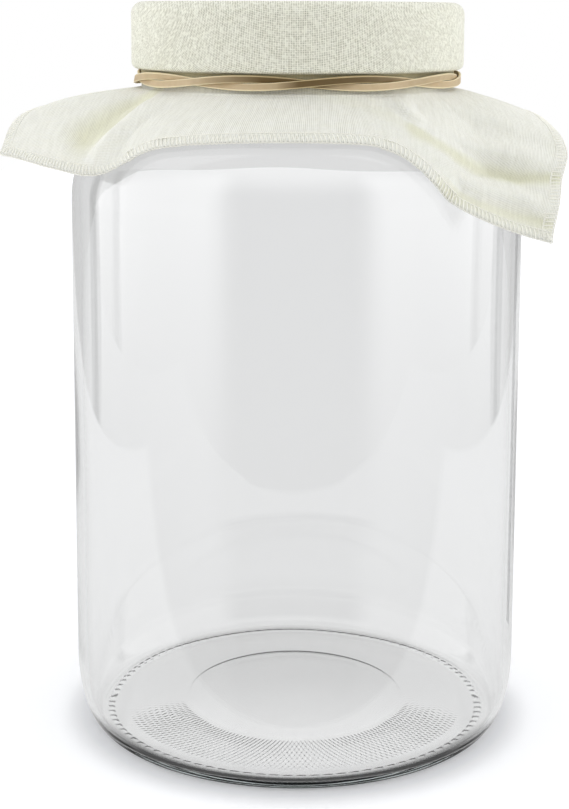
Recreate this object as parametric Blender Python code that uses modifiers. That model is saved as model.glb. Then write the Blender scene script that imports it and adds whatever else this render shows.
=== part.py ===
"""Wide-mouth glass jar for brewing kombucha, with its screw lid, cloth cover and rubber band.

Metres, +Z up. The origin is the centre of the jar's underside, on the surface it stands on.
The cloth is drawn over the closed lid and held in the neck below it by a doubled rubber band.
"""
import math

import bmesh
import bpy
import numpy as np

# Clearance kept between two touching pieces
CLEAR = 0.0003

# Glass jar
BODY_RADIUS = 0.0780
RIM_HEIGHT = 0.2483
WALL = 0.0032
BASE_THICKNESS = 0.0036
PUSH_UP = 0.0040            # rise of the underside's middle
PUSH_UP_RADIUS = 0.0380
PUSH_UP_AT_EDGE = 0.85      # share of the rise that is reached at that radius
FOOT_WIDTH = 0.0075         # flat ring that the jar stands on
HEEL_INSET = 0.0085         # body wall to the outer edge of the foot
HEEL_HEIGHT = 0.0240
INNER_HEEL_WIDTH = 0.0053   # of the curve from the floor up to the inner wall
INNER_HEEL_HEIGHT = 0.0180
SHOULDER_RADIUS = 0.0360
SHOULDER_TURN = math.radians(60)
NECK_FILLET = 0.0060
NECK_LENGTH = 0.0081        # from the transfer bead down to the fillet
NECK_STEP = 0.0006          # how far the neck is drawn in below the finish
FINISH_RADIUS = 0.0535      # plain wall between the threads
RIM_WALL = 0.0038
RIM_ROUND = 0.0010
BEAD_RISE = 0.0009
BEAD_TOP = 0.0134           # depth of the transfer bead's top below the rim
BEAD_HEIGHT = 0.0030

# Screw thread, one turn, right-hand
PITCH = 0.00508
THREAD_START = 0.0082       # depth of the lowest end below the rim
THREAD_BEAD = 0.0011        # half-width of the glass thread's round section
THREAD_RISE = 0.0013        # how far its crest stands out
THREAD_END = 0.45           # share of its full section at both ends
THREAD_TAPER = 8            # how soon it gains the full section, per turn
LID_THREAD_BEAD = 0.00095
LID_THREAD_CLEAR = 0.0004   # from the lid thread's crest to the glass wall
LID_THREAD_LEAD = 0.46      # share of the pitch that it starts below the glass thread

# Screw lid and its foam liner
LID_HEIGHT = 0.0202
LID_WALL = 0.0012
LID_PLATE = 0.0015
LID_EDGE = 0.0033           # round top edge
LID_FOOT_BEVEL = 0.0007     # bevel round the skirt's lower edge
LINER_THICKNESS = 0.0011
LINER_PLAY = 0.0006         # liner to the lid's inside

# Cloth cover, cut square
CLOTH_SIDE = 0.2285
CLOTH_THICKNESS = 0.0004
CLOTH_SHIFT_RIGHT = 0.0040  # how far it was laid off the middle of the lid
CLOTH_SHIFT_BACK = 0.0068
NECK_EASE = 0.00015         # slack of the cloth in the neck
HANG_CLEAR = 0.0011         # least space between the skirt of the cloth and the glass
HEM_WIDTH = 0.0034
HEM_THICKNESS = 0.0012
HEM_GAP = 0.0010            # from the cloth's woven edge to the overlocked strip

# Rubber band, one flat loop laid twice round the neck and twisted on itself
BAND_WIDTH = 0.0024
BAND_THICKNESS = 0.0008
BAND_SELF_GAP = 0.00048
BAND_HALF_TWISTS = 9        # odd, so that the second round ends where the first began
BAND_STEADY = 2.6           # how soon a strand is fully in or out after a crossing
BAND_CROSSING = math.radians(-87)

# Facets
TURN_STEPS = 52
THREAD_POINTS = 40
BAND_POINTS = 168
EDGE_STEPS = 2              # round the lid's top edge and the cloth over it

# How the cloth falls. Each row is one line of the cloth from the band to its hem, in degrees:
# direction from the cloth's middle, place round the neck, heading and dip of the line,
# and the length that it spans as a share of the cloth it has.
FALL = [
    (232, 215, 202, 39, 0.84), (239, 226, 204, 44, 1.00), (250, 241, 203, 39, 0.97),
    (260, 256, 233, 42, 1.00), (270, 270, 263, 44, 1.00), (282, 288, 297, 45, 0.95),
    (292, 303, 280, 43, 0.94), (304, 316, 290, 53, 1.00), (309, 320, 305, 49, 1.00),
    ("front right", 327, 323, 48, 0.87), (322, 331, 325, 35, 0.90), (327, 334, 334, 34, 0.89),
    (331, 337, 328, 26, 0.99), (337, 342, 335, 21, 0.96), (345, 348, 355, 18, 0.91),
    (356, 357, 383, 20, 0.89), (368, 367, 392, 20, 0.92), (382, 379, 393, 27, 1.00),
    (394, 389, 388, 33, 1.00), ("back right", 398, 393, 27, 0.88), (418, 412, 411, 25, 0.87),
    (432, 429, 438, 26, 0.82), (450, 450, 451, 26, 0.83), (466, 468, 463, 26, 0.82),
    (480, 483, 492, 24, 0.86), ("back left", 495, 500, 21, 0.86), (506, 507, 508, 26, 0.90),
    (520, 518, 495, 30, 0.92), (534, 529, 510, 20, 0.95), (548, 539, 523, 17, 1.00),
    (563, 551, 514, 12, 1.00), (573, 558, 521, 10, 1.00), (579, 562, 532, 17, 0.91),
    ("front left", 566, 544, 24, 0.79),
]
ARCH = 0.035                # how far a line bows upwards, as a share of its length
WIDE_STEP_DEGREES = 10.5    # degrees round the neck before another line goes between two
SKIRT_STEPS = (0.22, 0.48, 0.74)

# Sizes that follow
MOUTH_RADIUS = FINISH_RADIUS - RIM_WALL
NECK_RADIUS = FINISH_RADIUS - NECK_STEP
BEAD_BOTTOM_Z = RIM_HEIGHT - BEAD_TOP - BEAD_HEIGHT
NECK_BOTTOM_Z = BEAD_BOTTOM_Z - NECK_LENGTH
SHOULDER_SIDE = 1 - math.cos(SHOULDER_TURN)
SHOULDER_ARC = min(SHOULDER_RADIUS, (BODY_RADIUS - NECK_RADIUS) / SHOULDER_SIDE - NECK_FILLET)
LID_INNER = FINISH_RADIUS + THREAD_RISE + CLEAR
LID_RADIUS = LID_INNER + LID_WALL
LINER_Z = RIM_HEIGHT + CLEAR
LID_INNER_TOP_Z = LINER_Z + LINER_THICKNESS + CLEAR
LID_TOP_Z = LID_INNER_TOP_Z + LID_PLATE
LID_BOTTOM_Z = LID_TOP_Z - LID_HEIGHT
CLOTH_NECK = NECK_RADIUS + CLEAR + NECK_EASE
BAND_SWING = (BAND_THICKNESS + BAND_SELF_GAP) / 2
BAND_RISE = (BAND_WIDTH + 1.5 * BAND_SELF_GAP) / 2
BAND_RADIUS = CLOTH_NECK + CLOTH_THICKNESS + CLEAR + BAND_THICKNESS / 2 + BAND_SWING
CLOTH_UNDER_Z = LID_BOTTOM_Z - 1.5 * CLEAR
BAND_Z = CLOTH_UNDER_Z - CLOTH_THICKNESS - CLEAR - BAND_RISE - BAND_WIDTH / 2
CLOTH_LEAVES_Z = BAND_Z - BAND_RISE - BAND_WIDTH / 2 - CLEAR - 1.5 * CLOTH_THICKNESS


def make_collection(name):
    collection = bpy.data.collections.new(name)
    bpy.context.scene.collection.children.link(collection)
    return collection


def make_material(name, colour, roughness, alpha=1.0, transmission=0.0):
    material = bpy.data.materials.new(name)
    material.use_nodes = True
    shader = material.node_tree.nodes["Principled BSDF"]
    shader.inputs["Base Color"].default_value = (*colour, 1)
    shader.inputs["Roughness"].default_value = roughness
    shader.inputs["Metallic"].default_value = 0.0
    shader.inputs["Alpha"].default_value = alpha
    shader.inputs["Transmission Weight"].default_value = transmission
    material.diffuse_color = (*colour, alpha)
    return material


def add_object(name, data, collection, material=None):
    item = bpy.data.objects.new(name, data)
    collection.objects.link(item)
    if material:
        data.materials.append(material)
    return item


def arc(centre_r, centre_z, reach_r, reach_z, start, end, steps):
    """Points of an elliptical arc; angles from +r towards +z."""
    turns = np.linspace(start, end, steps + 1)
    return [(centre_r + reach_r * math.cos(a), centre_z + reach_z * math.sin(a)) for a in turns]


def turned(name, profile, collection, material):
    """A solid of revolution from a profile that runs down its outer side."""
    mesh = bpy.data.meshes.new(name)
    points = [(r, 0, z) for r, z in profile]
    mesh.from_pydata(points, [(i, i + 1) for i in range(len(points) - 1)], [])
    item = add_object(name, mesh, collection, material)
    screw = item.modifiers.new("turn", "SCREW")
    screw.axis = "Z"
    screw.steps = screw.render_steps = TURN_STEPS
    screw.use_merge_vertices = True
    screw.merge_threshold = 0.00001
    screw.use_smooth_shade = True
    return item


def shoulder(offset=0.0):
    """Outline from the neck down to the straight wall, drawn in by offset."""
    side, rise = SHOULDER_SIDE, math.sin(SHOULDER_TURN)
    run = BODY_RADIUS - NECK_RADIUS - side * (NECK_FILLET + SHOULDER_ARC)
    low = NECK_BOTTOM_Z - rise * (NECK_FILLET + SHOULDER_ARC) - run / math.tan(SHOULDER_TURN)
    fillet = NECK_FILLET + offset
    concave = arc(NECK_RADIUS + NECK_FILLET, NECK_BOTTOM_Z, fillet, fillet,
                  math.pi, math.pi + SHOULDER_TURN, 3)
    bulge = SHOULDER_ARC - offset
    convex = arc(BODY_RADIUS - SHOULDER_ARC, low, bulge, bulge, SHOULDER_TURN, 0, 5)
    return concave + convex[1 if math.dist(concave[-1], convex[0]) < CLEAR / 100 else 0:]


def jar_outside():
    """The jar's outer profile, from the rim down to the middle of the base."""
    wall, rim = FINISH_RADIUS, RIM_HEIGHT
    bead_top, bead_low = rim - BEAD_TOP, BEAD_BOTTOM_Z
    slope = BEAD_RISE / 2
    foot = BODY_RADIUS - HEEL_INSET
    points = [(wall - RIM_ROUND, rim), (wall, rim - RIM_ROUND), (wall, bead_top)]
    points += [(wall + BEAD_RISE, bead_top - slope), (wall + BEAD_RISE, bead_low + slope)]
    points += [(NECK_RADIUS, bead_low)]
    points += shoulder()
    points += arc(foot, HEEL_HEIGHT, HEEL_INSET, HEEL_HEIGHT, 0, -math.pi / 2, 5)
    step = PUSH_UP / 4
    points += [(foot - FOOT_WIDTH, 0), (foot - FOOT_WIDTH - 2 * step, step)]
    points += [(PUSH_UP_RADIUS + step, 2 * step)]
    points += [(PUSH_UP_RADIUS - step, PUSH_UP_AT_EDGE * PUSH_UP), (0, PUSH_UP)]
    return points


def jar_inside():
    """The jar's inner profile, from the middle of the floor up to the rim."""
    wide, high = INNER_HEEL_WIDTH, INNER_HEEL_HEIGHT
    floor_edge = BODY_RADIUS - WALL - wide
    points = [(0, PUSH_UP + BASE_THICKNESS), (PUSH_UP_RADIUS, PUSH_UP / 2 + BASE_THICKNESS)]
    points += [(BODY_RADIUS - HEEL_INSET - FOOT_WIDTH, BASE_THICKNESS)]
    points += arc(floor_edge, BASE_THICKNESS + high, wide, high, -math.pi / 2, 0, 4)
    points += reversed(shoulder(WALL))
    points += [(MOUTH_RADIUS, RIM_HEIGHT - RIM_ROUND), (MOUTH_RADIUS + RIM_ROUND, RIM_HEIGHT)]
    return points


def thread(name, radius, bead, start_z, collection):
    """One turn of round thread as a welded tube that thins at both ends."""
    curve = bpy.data.curves.new(name, "CURVE")
    curve.dimensions = "3D"
    curve.bevel_depth = bead
    curve.bevel_resolution = 1
    curve.use_fill_caps = True
    spline = curve.splines.new("POLY")
    spline.points.add(THREAD_POINTS)
    for i, point in enumerate(spline.points):
        share = i / THREAD_POINTS
        turn = 2 * math.pi * share
        point.co = (radius * math.cos(turn), radius * math.sin(turn), start_z + PITCH * share, 1)
        point.radius = min(1.0, THREAD_END + THREAD_TAPER * min(share, 1 - share))
    path = add_object(name + "_path", curve, collection)
    bpy.context.view_layer.update()
    evaluated = path.evaluated_get(bpy.context.evaluated_depsgraph_get())
    mesh = bpy.data.meshes.new_from_object(evaluated)
    work = bmesh.new()
    work.from_mesh(mesh)
    bmesh.ops.remove_doubles(work, verts=work.verts, dist=0.000001)
    bmesh.ops.recalc_face_normals(work, faces=work.faces)
    work.to_mesh(mesh)
    work.free()
    tube = add_object(name, mesh, collection)
    tube.matrix_world = path.matrix_world
    bpy.data.objects.remove(path)
    tube.hide_render = True
    tube.display_type = "WIRE"
    return tube


def join(item, tool):
    boolean = item.modifiers.new("join_" + tool.name, "BOOLEAN")
    boolean.operation = "UNION"
    boolean.solver = "EXACT"
    boolean.object = tool


def make_jar(parts, tools):
    glass = make_material("clear_glass", (0.93, 0.95, 0.95), 0.02, alpha=0.35, transmission=1.0)
    jar = turned("glass_jar", jar_inside() + jar_outside(), parts, glass)
    crest_centre = FINISH_RADIUS + THREAD_RISE - THREAD_BEAD
    join(jar, thread("jar_thread", crest_centre, THREAD_BEAD, RIM_HEIGHT - THREAD_START, tools))


def make_lid(parts, tools):
    white = make_material("white_plastic", (0.90, 0.90, 0.87), 0.35)
    edge, top, low = LID_EDGE, LID_TOP_Z, LID_BOTTOM_Z
    profile = [(0, top)]
    profile += arc(LID_RADIUS - edge, top - edge, edge, edge, math.pi / 2, 0, EDGE_STEPS)
    bevel = LID_FOOT_BEVEL
    profile += [(LID_RADIUS, low + bevel), (LID_RADIUS - bevel, low), (LID_INNER, low)]
    profile += [(LID_INNER, LID_INNER_TOP_Z), (0, LID_INNER_TOP_Z)]
    lid = turned("screw_lid", profile, parts, white)
    crest_centre = FINISH_RADIUS + LID_THREAD_CLEAR + LID_THREAD_BEAD
    start = RIM_HEIGHT - THREAD_START - LID_THREAD_LEAD * PITCH
    join(lid, thread("lid_thread", crest_centre, LID_THREAD_BEAD, start, tools))


def make_liner(parts):
    foam = make_material("liner_foam", (0.92, 0.92, 0.90), 0.85)
    radius, low, top = LID_INNER - LINER_PLAY, LINER_Z, LINER_Z + LINER_THICKNESS
    turned("lid_liner", [(0, top), (radius, top), (radius, low), (0, low)], parts, foam)


def corner_angle(name):
    """Direction of one of the cloth's corners from the lid's axis, in degrees."""
    x = CLOTH_SHIFT_RIGHT + (CLOTH_SIDE / 2 if "right" in name else -CLOTH_SIDE / 2)
    y = CLOTH_SHIFT_BACK + (CLOTH_SIDE / 2 if "back" in name else -CLOTH_SIDE / 2)
    return math.degrees(math.atan2(y, x))


def fall_lines():
    """The rows of FALL with the corners in place, and a smooth one in each wide step."""
    rows = []
    for first, *rest in FALL:
        angle = corner_angle(first) if isinstance(first, str) else first
        while rows and angle < rows[-1][0]:
            angle += 360
        rows.append([angle] + rest)
    rows = np.array(rows, float)
    whole_turn = np.array([360, 360, 360, 0, 0])
    around = np.vstack([rows[-2:] - whole_turn, rows, rows[:2] + whole_turn])
    lines = []
    for i in range(2, len(around) - 2):
        before, here, after, beyond = around[i - 1:i + 3]
        lines.append(here)
        step = after[0] - here[0]
        if after[1] - here[1] > WIDE_STEP_DEGREES:
            lead = (after - before) / (after[0] - before[0]) * step
            follow = (beyond - here) / (beyond[0] - here[0]) * step
            lines.append((here + after) / 2 + (lead - follow) / 8)
            lines[-1][0] = here[0] + step / 2
    return lines


def cut_length(angle, inset=0.0):
    """Distance from the lid's axis to the edge of the flat cloth in this direction."""
    half = CLOTH_SIDE / 2 - inset
    c, s = math.cos(math.radians(angle)), math.sin(math.radians(angle))
    side_x = (half + math.copysign(CLOTH_SHIFT_RIGHT, c)) if c > 0 else (half - CLOTH_SHIFT_RIGHT)
    side_y = (half + CLOTH_SHIFT_BACK) if s > 0 else (half - CLOTH_SHIFT_BACK)
    return min(side_x / max(abs(c), 1e-9), side_y / max(abs(s), 1e-9))


def cap_rings():
    """Inner side of the cloth over the lid and down to the neck, as radius and height."""
    radius, top, edge = LID_RADIUS + CLEAR, LID_TOP_Z + CLEAR, LID_EDGE + CLEAR
    rings = arc(radius - edge, top - edge, edge, edge, math.pi / 2, 0, EDGE_STEPS)
    bevel, ease = LID_FOOT_BEVEL, CLEAR * math.tan(math.pi / 8)
    rings += [(radius, LID_BOTTOM_Z + bevel - ease)]
    rings += [(LID_RADIUS - bevel + ease, LID_BOTTOM_Z - CLEAR)]
    rings += [(CLOTH_NECK, CLOTH_UNDER_Z), (CLOTH_NECK, CLOTH_LEAVES_Z)]
    return rings


def cloth_used():
    """Length of cloth from the lid's axis to where it leaves the band."""
    rings = np.array([(0, LID_TOP_Z + CLEAR)] + cap_rings())
    return float(np.linalg.norm(np.diff(rings, axis=0), axis=1).sum())


def clear_of_glass(r, z):
    """Moves a point of the cloth's skirt out to HANG_CLEAR from the jar."""
    outline = np.array([(NECK_RADIUS, BEAD_BOTTOM_Z)] + shoulder() + [(BODY_RADIUS, HEEL_HEIGHT)])
    start, run = outline[:-1], np.diff(outline, axis=0)
    point = np.array([r, z])
    share = np.clip(((point - start) * run).sum(1) / (run ** 2).sum(1), 0, 1)
    away = point - (start + share[:, None] * run)
    side = run[:, 0] * away[:, 1] - run[:, 1] * away[:, 0]
    near = int(np.argmin(np.hypot(away[:, 0], away[:, 1])))
    distance = math.copysign(math.hypot(*away[near]), side[near])
    if distance >= HANG_CLEAR:
        return r, z
    out = np.array([-run[near, 1], run[near, 0]]) / np.hypot(*run[near])
    r, z = point + out * (HANG_CLEAR - distance)
    return r, z


def skirt_point(line, share):
    """A point of one line of the skirt, from the band (0) to the hem (1), as a vector."""
    angle, place, heading, dip, span = line
    place, heading, dip = (math.radians(v) for v in (place, heading, dip))
    length = (cut_length(angle) - cloth_used()) * span
    start = np.array([CLOTH_NECK * math.cos(place), CLOTH_NECK * math.sin(place), CLOTH_LEAVES_Z])
    along = (math.cos(dip) * math.cos(heading), math.cos(dip) * math.sin(heading), -math.sin(dip))
    point = start + share * length * np.array(along)
    point[2] += 4 * ARCH * length * share * (1 - share)
    r, z = math.hypot(point[0], point[1]), point[2]
    new_r, new_z = clear_of_glass(r, z)
    return np.array([point[0] * new_r / r, point[1] * new_r / r, new_z])


def make_cloth(parts):
    ivory = make_material("ivory_cotton", (0.90, 0.88, 0.78), 0.9)
    lines, rings, used = fall_lines(), cap_rings(), cloth_used()
    columns = []
    for line in lines:
        turn = math.radians(line[1])
        column = [(r * math.cos(turn), r * math.sin(turn), z) for r, z in rings]
        free = cut_length(line[0]) - used
        end = (cut_length(line[0], HEM_WIDTH + HEM_GAP) - used) / free
        column += [tuple(skirt_point(line, share * end)) for share in (*SKIRT_STEPS, 1)]
        columns.append(column)
    work = bmesh.new()
    middle = work.verts.new((0, 0, LID_TOP_Z + CLEAR))
    grid = [[work.verts.new(point) for point in column] for column in columns]
    for here, after in zip(grid, grid[1:] + grid[:1]):
        work.faces.new((middle, here[0], after[0]))
        for k in range(len(here) - 1):
            work.faces.new((here[k], here[k + 1], after[k + 1], after[k]))
    bmesh.ops.triangulate(work, faces=work.faces)
    mesh = bpy.data.meshes.new("cover_cloth")
    work.to_mesh(mesh)
    work.free()
    mesh.shade_smooth()
    cloth = add_object("cover_cloth", mesh, parts, ivory)
    shell = cloth.modifiers.new("thickness", "SOLIDIFY")
    shell.thickness = CLOTH_THICKNESS
    shell.offset = 1
    shell.use_even_offset = True


def make_hem(parts):
    """The overlocked edge, a flat strip that runs on from the cloth all round."""
    thread_white = make_material("hem_thread", (0.91, 0.90, 0.80), 0.85)
    lines, used = fall_lines(), cloth_used()
    inner, outer = [], []
    for line in lines:
        free = cut_length(line[0]) - used
        inner.append(skirt_point(line, (cut_length(line[0], HEM_WIDTH) - used) / free))
        outer.append(skirt_point(line, 1))
    inner, outer = np.array(inner), np.array(outer)
    along = np.roll(outer, -1, axis=0) - np.roll(outer, 1, axis=0)
    up = np.cross(outer - inner, along)
    up /= np.linalg.norm(up, axis=1)[:, None]
    middle = up * CLOTH_THICKNESS / 2
    half = up * HEM_THICKNESS / 2
    sides = [inner + middle - half, outer + middle - half, outer + middle + half, inner + middle + half]
    work = bmesh.new()
    loops = [[work.verts.new(point) for point in side] for side in sides]
    count = len(lines)
    for lower, upper in zip(loops, loops[1:] + loops[:1]):
        for i in range(count):
            j = (i + 1) % count
            work.faces.new((lower[i], lower[j], upper[j], upper[i]))
    bmesh.ops.triangulate(work, faces=work.faces)
    bmesh.ops.recalc_face_normals(work, faces=work.faces)
    mesh = bpy.data.meshes.new("hem_stitching")
    work.to_mesh(mesh)
    work.free()
    add_object("hem_stitching", mesh, parts, thread_white)


def band_path():
    """Middle line of the band: azimuth, radius and height at each point of both rounds."""
    turn = np.linspace(0, 4 * math.pi, BAND_POINTS, endpoint=False)
    twist = BAND_HALF_TWISTS / 2 * (turn - BAND_CROSSING) + math.pi / 2
    swing = np.clip(BAND_STEADY * np.sin(twist), -1, 1)
    return turn, BAND_RADIUS + BAND_SWING * swing, BAND_Z - BAND_RISE * np.cos(twist)


def band_self_gap():
    """Least gap between the two rounds, measured on points of the band's surface."""
    turn, radius, height = band_path()
    surface, place = [], []
    for u in np.linspace(-0.5, 0.5, 7):
        for v in (-0.5, 0.5):
            r, z = radius + v * BAND_THICKNESS, height + u * BAND_WIDTH
            surface.append(np.stack([r * np.cos(turn), r * np.sin(turn), z], 1))
            place.append(turn)
    surface, place = np.concatenate(surface), np.concatenate(place)
    half = place < 2 * math.pi
    first, second = surface[half], surface[~half]
    gaps = np.linalg.norm(first[:, None] - second[None], axis=2)
    return float(gaps.min())


def make_band(parts, tools):
    rubber = make_material("natural_rubber", (0.62, 0.47, 0.29), 0.5)
    section = bpy.data.curves.new("band_section", "CURVE")
    section.dimensions = "2D"
    outline = section.splines.new("POLY")
    outline.points.add(3)
    outline.use_cyclic_u = True
    corners = ((-0.5, -0.5), (-0.5, 0.5), (0.5, 0.5), (0.5, -0.5))
    for point, (u, v) in zip(outline.points, corners):
        point.co = (u * BAND_THICKNESS, v * BAND_WIDTH, 0, 1)
    guide = add_object("band_section", section, tools)
    guide.hide_render = True
    guide.display_type = "WIRE"
    path = bpy.data.curves.new("rubber_band", "CURVE")
    path.dimensions = "3D"
    path.twist_mode = "Z_UP"
    path.bevel_mode = "OBJECT"
    path.bevel_object = guide
    loop = path.splines.new("POLY")
    loop.points.add(BAND_POINTS - 1)
    loop.use_cyclic_u = True
    for point, turn, radius, height in zip(loop.points, *band_path()):
        point.co = (radius * math.cos(turn), radius * math.sin(turn), height, 1)
    add_object("rubber_band", path, parts, rubber)
    print(f"rubber_band: least gap to itself {band_self_gap() * 1000:.2f} mm")


def main():
    for item in list(bpy.data.objects):
        bpy.data.objects.remove(item)
    parts = make_collection("kombucha_brewing_jar")
    tools = make_collection("cutters_and_guides")
    make_jar(parts, tools)
    make_lid(parts, tools)
    make_liner(parts)
    make_cloth(parts)
    make_hem(parts)
    make_band(parts, tools)
    print(f"cloth used to the band {cloth_used() * 1000:.1f} mm of {CLOTH_SIDE * 500:.1f} mm")


main()
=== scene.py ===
import math

import bmesh
import bpy
import numpy as np
from mathutils import Matrix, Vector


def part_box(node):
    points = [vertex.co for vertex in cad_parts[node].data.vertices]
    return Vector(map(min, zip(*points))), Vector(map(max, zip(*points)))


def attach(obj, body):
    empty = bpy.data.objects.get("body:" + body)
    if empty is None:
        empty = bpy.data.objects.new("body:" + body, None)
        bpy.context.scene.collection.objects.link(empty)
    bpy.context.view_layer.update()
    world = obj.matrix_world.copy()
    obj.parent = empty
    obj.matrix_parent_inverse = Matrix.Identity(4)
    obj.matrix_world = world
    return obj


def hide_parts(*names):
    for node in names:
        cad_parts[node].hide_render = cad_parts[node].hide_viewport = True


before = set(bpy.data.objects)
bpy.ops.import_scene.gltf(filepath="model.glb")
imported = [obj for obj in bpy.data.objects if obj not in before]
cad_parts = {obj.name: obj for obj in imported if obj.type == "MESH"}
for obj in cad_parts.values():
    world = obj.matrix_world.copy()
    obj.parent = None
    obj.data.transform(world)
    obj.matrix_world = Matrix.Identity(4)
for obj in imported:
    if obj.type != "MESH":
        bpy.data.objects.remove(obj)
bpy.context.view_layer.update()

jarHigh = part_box("glass_jar")[1]
lidLow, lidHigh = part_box("screw_lid")
linerLow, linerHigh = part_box("lid_liner")
bandLow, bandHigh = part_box("rubber_band")
clearance = 0.0003              # between two pieces that touch, as in the solids


# Small tools that the pieces share

def node(tree, kind, inputs=None, **settings):
    made = tree.nodes.new(kind)
    for key, value in settings.items():
        setattr(made, key, value)
    for key, value in (inputs or {}).items():
        if isinstance(value, bpy.types.NodeSocket):
            tree.links.new(value, made.inputs[key])
        else:
            made.inputs[key].default_value = value
    return made


def maths(tree, operation, *values):
    return node(tree, "ShaderNodeMath", dict(enumerate(values)), operation=operation).outputs[0]


def times(tree, first, second):
    return maths(tree, "MULTIPLY", first, second)


def stepBetween(tree, value, start, end):      # 0 at start, 1 at end, smooth between
    made = node(tree, "ShaderNodeMapRange", {"Value": value, "From Min": start, "From Max": end},
                interpolation_type="SMOOTHSTEP")
    return made.outputs["Result"]


def mixColour(tree, share, first, second):
    first, second = ((*c, 1) if isinstance(c, tuple) else c for c in (first, second))
    inputs = {0: share, 6: first, 7: second}
    return node(tree, "ShaderNodeMix", inputs, data_type="RGBA").outputs[2]


def vector(tree, x=0.0, y=0.0, z=0.0):
    return node(tree, "ShaderNodeCombineXYZ", {0: x, 1: y, 2: z}).outputs[0]


def parts(tree, place):
    return node(tree, "ShaderNodeSeparateXYZ", {0: place}).outputs


def objectPlace(tree):
    return node(tree, "ShaderNodeTexCoord").outputs["Object"]


def form(tree, kind, inputs=None):      # what a geometry node makes
    return node(tree, "GeometryNode" + kind, inputs).outputs[0]


def joined(tree, forms):
    made = node(tree, "GeometryNodeJoinGeometry")
    for item in forms:
        tree.links.new(item, made.inputs[0])
    return made.outputs[0]


def pointValue(tree, name):     # a value that the mesh carries at its points
    return node(tree, "ShaderNodeAttribute", attribute_name=name).outputs["Fac"]


def noise(tree, place, scale, detail):
    made = node(tree, "ShaderNodeTexNoise", {"Vector": place, "Scale": scale, "Detail": detail})
    return made.outputs[0]


def roughen(tree, shader, height, strength, distance):
    bump = node(tree, "ShaderNodeBump", {"Height": height, "Strength": strength,
                                         "Distance": distance})
    tree.links.new(bump.outputs[0], shader.inputs["Normal"])


def newMaterial(name, colour, roughness, **sockets):
    material = bpy.data.materials.new(name)
    material.use_nodes = True
    shader = material.node_tree.nodes["Principled BSDF"]
    shader.inputs["Base Color"].default_value = (*colour, 1)
    shader.inputs["Roughness"].default_value = roughness
    for key, value in sockets.items():
        shader.inputs[key.replace("_", " ")].default_value = value
    return material, material.node_tree, shader


def newObject(name, mesh, material=None):
    item = bpy.data.objects.new(name, mesh)
    bpy.context.scene.collection.objects.link(item)
    if material:
        mesh.materials.append(material)
    return item


def addPointValues(mesh, **columns):
    for title, values in columns.items():
        mesh.attributes.new(title, "FLOAT", "POINT").data.foreach_set("value", values)


def newMesh(name, points, faces):
    mesh = bpy.data.meshes.new(name)
    mesh.from_pydata(np.asarray(points).tolist(), [], faces)
    mesh.update()
    mesh.shade_smooth()
    return mesh


def gridFaces(index):           # between rows of points that are closed rings
    beside = np.roll(index, -1, axis=1)
    corners = [index[:-1], index[1:], beside[1:], beside[:-1]]
    return np.stack(corners, -1).reshape(-1, 4).tolist()


def closeUp(mesh):              # merges doubled points and turns the faces outwards
    work = bmesh.new()
    work.from_mesh(mesh)
    bmesh.ops.remove_doubles(work, verts=work.verts, dist=1e-7)
    bmesh.ops.recalc_face_normals(work, faces=work.faces)
    work.to_mesh(mesh)
    work.free()
    mesh.shade_smooth()


def plainMesh(item):            # what the modifiers make, as a mesh of its own
    evaluated = item.evaluated_get(bpy.context.evaluated_depsgraph_get())
    mesh = bpy.data.meshes.new_from_object(evaluated)
    item.modifiers.clear()
    old, item.data = item.data, mesh
    bpy.data.meshes.remove(old)
    mesh.name = item.name


def addPattern(item, name, build, values, material):    # the values are the tree's named inputs
    tree = bpy.data.node_groups.new(name, "GeometryNodeTree")
    for way in ("INPUT", "OUTPUT"):
        tree.interface.new_socket("Geometry", in_out=way, socket_type="NodeSocketGeometry")
    values = {**values, "Material": material}
    kinds = {int: "Int", float: "Float", bpy.types.Material: "Material"}
    for title, value in values.items():
        kind = "NodeSocket" + kinds[type(value)]
        tree.interface.new_socket(title, in_out="INPUT", socket_type=kind)
    given = tree.nodes.new("NodeGroupInput").outputs
    real = form(tree, "RealizeInstances", {"Geometry": build(tree, given)})
    painted = form(tree, "SetMaterial", {"Geometry": real, "Material": given["Material"]})
    tree.links.new(painted, tree.nodes.new("NodeGroupOutput").inputs[0])
    modifier = item.modifiers.new(name, "NODES")
    modifier.node_group = tree
    for socket in tree.interface.items_tree:
        if socket.in_out == "INPUT" and socket.name in values:
            modifier[socket.identifier] = values[socket.name]
    plainMesh(item)


def arcPoints(centreR, centreZ, reachR, reachZ, start, end, steps):
    turns = np.radians(np.linspace(start, end, steps + 1))
    return [(centreR + reachR * math.cos(a), centreZ + reachZ * math.sin(a)) for a in turns]


def softened(corners, soft, steps=4):    # each corner rounded from soft metres before it
    points = [corners[0]]
    for trio in zip(corners, corners[1:], corners[2:]):
        before, here, after = (np.array(p, float) for p in trio)
        start = here + (before - here) * min(soft / np.linalg.norm(before - here), 0.45)
        end = here + (after - here) * min(soft / np.linalg.norm(after - here), 0.45)
        for t in np.linspace(0, 1, steps + 1):
            points.append(tuple((1 - t) ** 2 * start + 2 * t * (1 - t) * here + t * t * end))
    return points + [corners[-1]]


def filled(outline, step):      # no two points further apart than step
    points = [outline[0]]
    for start, end in zip(outline, outline[1:]):
        count = max(1, math.ceil(math.dist(start, end) / step - 1e-6))
        start, end = np.array(start), np.array(end)
        points += [tuple(start + (end - start) * k / count) for k in range(1, count + 1)]
    return points


def turnedMesh(name, profile, segments, shift=None):
    profile = np.array(profile, float)
    turn = np.linspace(0, 2 * math.pi, segments, endpoint=False)
    r, z = np.repeat(profile[:, :1], segments, 1), np.repeat(profile[:, 1:2], segments, 1)
    if shift:
        r, z = shift(r, z, np.broadcast_to(turn, r.shape))
    points = np.stack([r * np.cos(turn), r * np.sin(turn), z], -1).reshape(-1, 3)
    mesh = newMesh(name, points, gridFaces(np.arange(len(points)).reshape(r.shape)))
    closeUp(mesh)
    return mesh


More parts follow.
